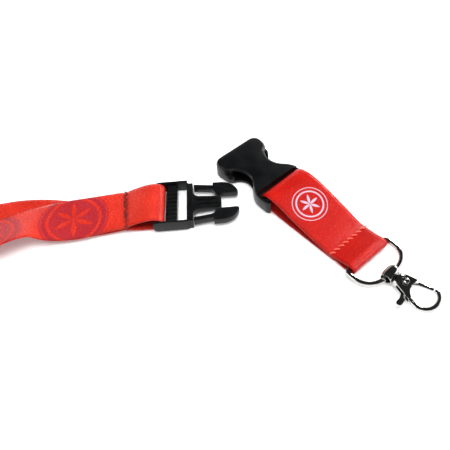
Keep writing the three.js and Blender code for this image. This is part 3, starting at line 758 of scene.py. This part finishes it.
bm = bmesh.new()
SHORT_STITCHES = 8
for i in range(SHORT_STITCHES):
    y0 = -9.7 + 19.3 * i / SHORT_STITCHES
    stitch(bm, on_short_seam(-0.7, y0), on_short_seam(0.5, y0 + 1.9), 0.42, 0.3, SOCKET)
tuft = [on_short_seam(0, 9.3), on_short_seam(0.4, 9.8, 0.35), on_short_seam(0.2, 10.3, 0.1),
        on_short_seam(-0.5, 10.6, -0.4)]
tube(bm, [SOCKET @ point for point in tuft], 0.2)
short_threads = finish_threads(
    bm, "short_threads", light_thread, "short_ribbon", "light_thread", "short_strap_stitching")

# -------------------------------------------------------------- elastic band


def band_mesh(name, centre_x, low, high, reach_y, middle_y, width, thickness):
    """A knitted elastic band round the folded ribbon, with rounded corners and ribs across it."""
    outline = []
    radius = 1.6
    corner_steps = 6
    rib_depth, rib_waves = 0.07, 6
    corners = ((reach_y - radius, high - radius, 0), (-reach_y + radius, high - radius, 90),
               (-reach_y + radius, low + radius, 180), (reach_y - radius, low + radius, 270))
    for y, z, start in corners:
        for i in range(corner_steps + 1):
            angle = math.radians(start + 90 * i / corner_steps)
            outline.append((Vector((0, y + radius * math.cos(angle), z + radius * math.sin(angle))),
                            Vector((0, math.cos(angle), math.sin(angle)))))
    mesh = bpy.data.meshes.new(name)
    bm = bmesh.new()
    columns = 24
    rings = []
    for point, out in outline:
        ring = []
        for face in (1, -1):
            for j in range(columns + 1):
                s = 2 * j / columns - 1 if face > 0 else 1 - 2 * j / columns
                rib = rib_depth * math.cos(s * rib_waves * math.pi) if face > 0 else 0.0
                depth = thickness if face > 0 else 0.0
                along = Vector((centre_x + s * width / 2, middle_y, 0))
                ring.append(bm.verts.new((point + out * (depth + rib) + along) * MM))
        rings.append(ring)
    size = 2 * (columns + 1)
    for ring0, ring1 in zip(rings, rings[1:] + rings[:1]):
        for j in range(size):
            k = (j + 1) % size
            bm.faces.new((ring0[j], ring0[k], ring1[k], ring1[j])).smooth = True
    bmesh.ops.recalc_face_normals(bm, faces=bm.faces)
    bm.to_mesh(mesh)
    bm.free()
    return mesh


tie_mesh = band_mesh("elastic_tie", -150, 0.75, 10.8, 10.35, HANK_Y, 6.0, 0.6)
tie = new_object("elastic_tie", tie_mesh, elastic, "neck_strap", "black_elastic",
                 "neck_strap_tie")

# -------------------------------------------------- moulded and metal pieces

# edges sharper than these angles are rounded, and stay sharp in the shading
BEVEL_ABOVE = math.radians(32)
SHARP_ABOVE = math.radians(38)


def refined(node, name, body, slot, material, bevel):
    """The node's own shape with its edges rounded by bevel millimetres and its curves smooth."""
    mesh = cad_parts[node].data.copy()
    bm = bmesh.new()
    bm.from_mesh(mesh)
    bmesh.ops.remove_doubles(bm, verts=bm.verts, dist=1e-7)
    bmesh.ops.dissolve_limit(
        bm, angle_limit=math.radians(1.0), verts=bm.verts, edges=bm.edges)
    bm.to_mesh(mesh)
    bm.free()
    obj = new_object(name, mesh, material, body, slot, node)
    if bevel:
        modifier = obj.modifiers.new("rounding", "BEVEL")
        modifier.width = bevel * MM
        modifier.segments = 2
        modifier.limit_method = "ANGLE"
        modifier.angle_limit = BEVEL_ABOVE
    depsgraph = bpy.context.evaluated_depsgraph_get()
    made = bpy.data.meshes.new_from_object(obj.evaluated_get(depsgraph))
    obj.modifiers.clear()
    obj.data = made
    made.shade_smooth()
    made.set_sharp_from_angle(angle=SHARP_ABOVE)


refined("buckle_prong_frame", "prong_half", "prong_half", "black_plastic", plastic, 0.22)
refined("release_arm_far", "far_arm", "far_arm", "black_plastic", plastic, 0.15)
refined("release_arm_near", "near_arm", "near_arm", "black_plastic", plastic, 0.15)
refined("buckle_socket", "socket_half", "socket_half", "black_plastic", plastic, 0.32)
refined("d_ring", "ring", "ring", "nickel", nickel, 0.0)
refined("swivel_eye", "eye", "eye", "nickel", nickel, 0.1)
refined("hook_body", "hook", "snap_hook", "nickel", nickel, 0.22)
refined("hook_gate", "gate", "gate", "nickel", nickel, 0.15)
refined("gate_rivet", "rivet", "snap_hook", "nickel", nickel, 0.08)
refined("gate_spring", "spring", "snap_hook", "spring_steel", steel, 0.0)

# ------------------------------------------------------- surface and lights

FLOOR_REACH = 1.5
floor_mesh = bpy.data.meshes.new("surface")
floor_mesh.from_pydata([(x * FLOOR_REACH, y * FLOOR_REACH, 0)
                        for x, y in ((-1, -1), (1, -1), (1, 1), (-1, 1))], [], [(0, 1, 2, 3)])
floor = bpy.data.objects.new("surface", floor_mesh)
bpy.context.scene.collection.objects.link(floor)
floor_material, floor_tree, floor_shader = blank_material("pale_surface", (0.92, 0.92, 0.92), 0.6)
floor_grain = texture(floor_tree, "ShaderNodeTexNoise",
                      floor_tree.nodes.new("ShaderNodeTexCoord").outputs["Object"], 400.0)
bump(floor_tree, floor_shader, floor_grain, 0.00001, 0.1)
floor_shader.inputs["Emission Color"].default_value = (1.0, 1.0, 1.0, 1.0)
floor_shader.inputs["Emission Strength"].default_value = 0.22
floor_mesh.materials.append(floor_material)

# lit by fold_box, which would leave white patches on the metal
satin = bpy.data.collections.new("satin")
for cloth in (neck, short, neck_threads, short_threads):
    satin.objects.link(cloth)


def softbox(name, place, target, width, height, power, glossy=True, only=None):
    """A rectangular lamp at place facing target; only is the collection it lights."""
    data = bpy.data.lights.new(name, "AREA")
    data.shape = "RECTANGLE"
    data.size = width
    data.size_y = height
    data.energy = power
    light = bpy.data.objects.new(name, data)
    light.location = place
    direction = Vector(target) - Vector(place)
    light.rotation_euler = direction.to_track_quat("-Z", "Y").to_euler()
    light.visible_glossy = glossy
    if only:
        light.light_linking.receiver_collection = only
    bpy.context.scene.collection.objects.link(light)


softbox("overhead", (0.05, 0.0, 0.9), (0, 0, 0), 1.0, 1.0, 16, glossy=False)
softbox("left_box", (-0.8, -0.25, 0.22), (0, 0, 0), 0.6, 0.25, 1.2)
softbox("right_box", (0.85, 0.1, 0.25), (0, 0, 0), 0.6, 0.25, 1.2)
softbox("fold_box", (0.80, -0.12, 0.62), (0.06, -0.03, 0), 0.34, 0.26, 6.0, only=satin)
softbox("crown_box", (0.75, 0.78, 0.40), (-0.01, 0.0, 0), 0.26, 0.18, 4.5)
softbox("front_box", (0.1, -0.8, 0.16), (0, 0, 0), 0.9, 0.12, 0.7)
softbox("back_box", (0.0, 0.95, 0.5), (0, 0, 0), 0.9, 0.3, 4.5, glossy=False)

world = bpy.data.worlds.new("studio")
bpy.context.scene.world = world
world.use_nodes = True
sky = world.node_tree
direction = sky.nodes.new("ShaderNodeTexCoord")
split_direction = sky.nodes.new("ShaderNodeSeparateXYZ")
sky.links.new(direction.outputs["Generated"], split_direction.inputs[0])
# bright near the horizon and dark above, which keeps the metal's faces black
brightness = ramp(sky, split_direction.outputs[2], 0.08, 0.42, 0.7, 0.03)
sky.links.new(brightness, sky.nodes["Background"].inputs["Strength"])
sky.nodes["Background"].inputs["Color"].default_value = (1, 1, 1, 1)

bpy.context.scene.view_settings.view_transform = "Standard"
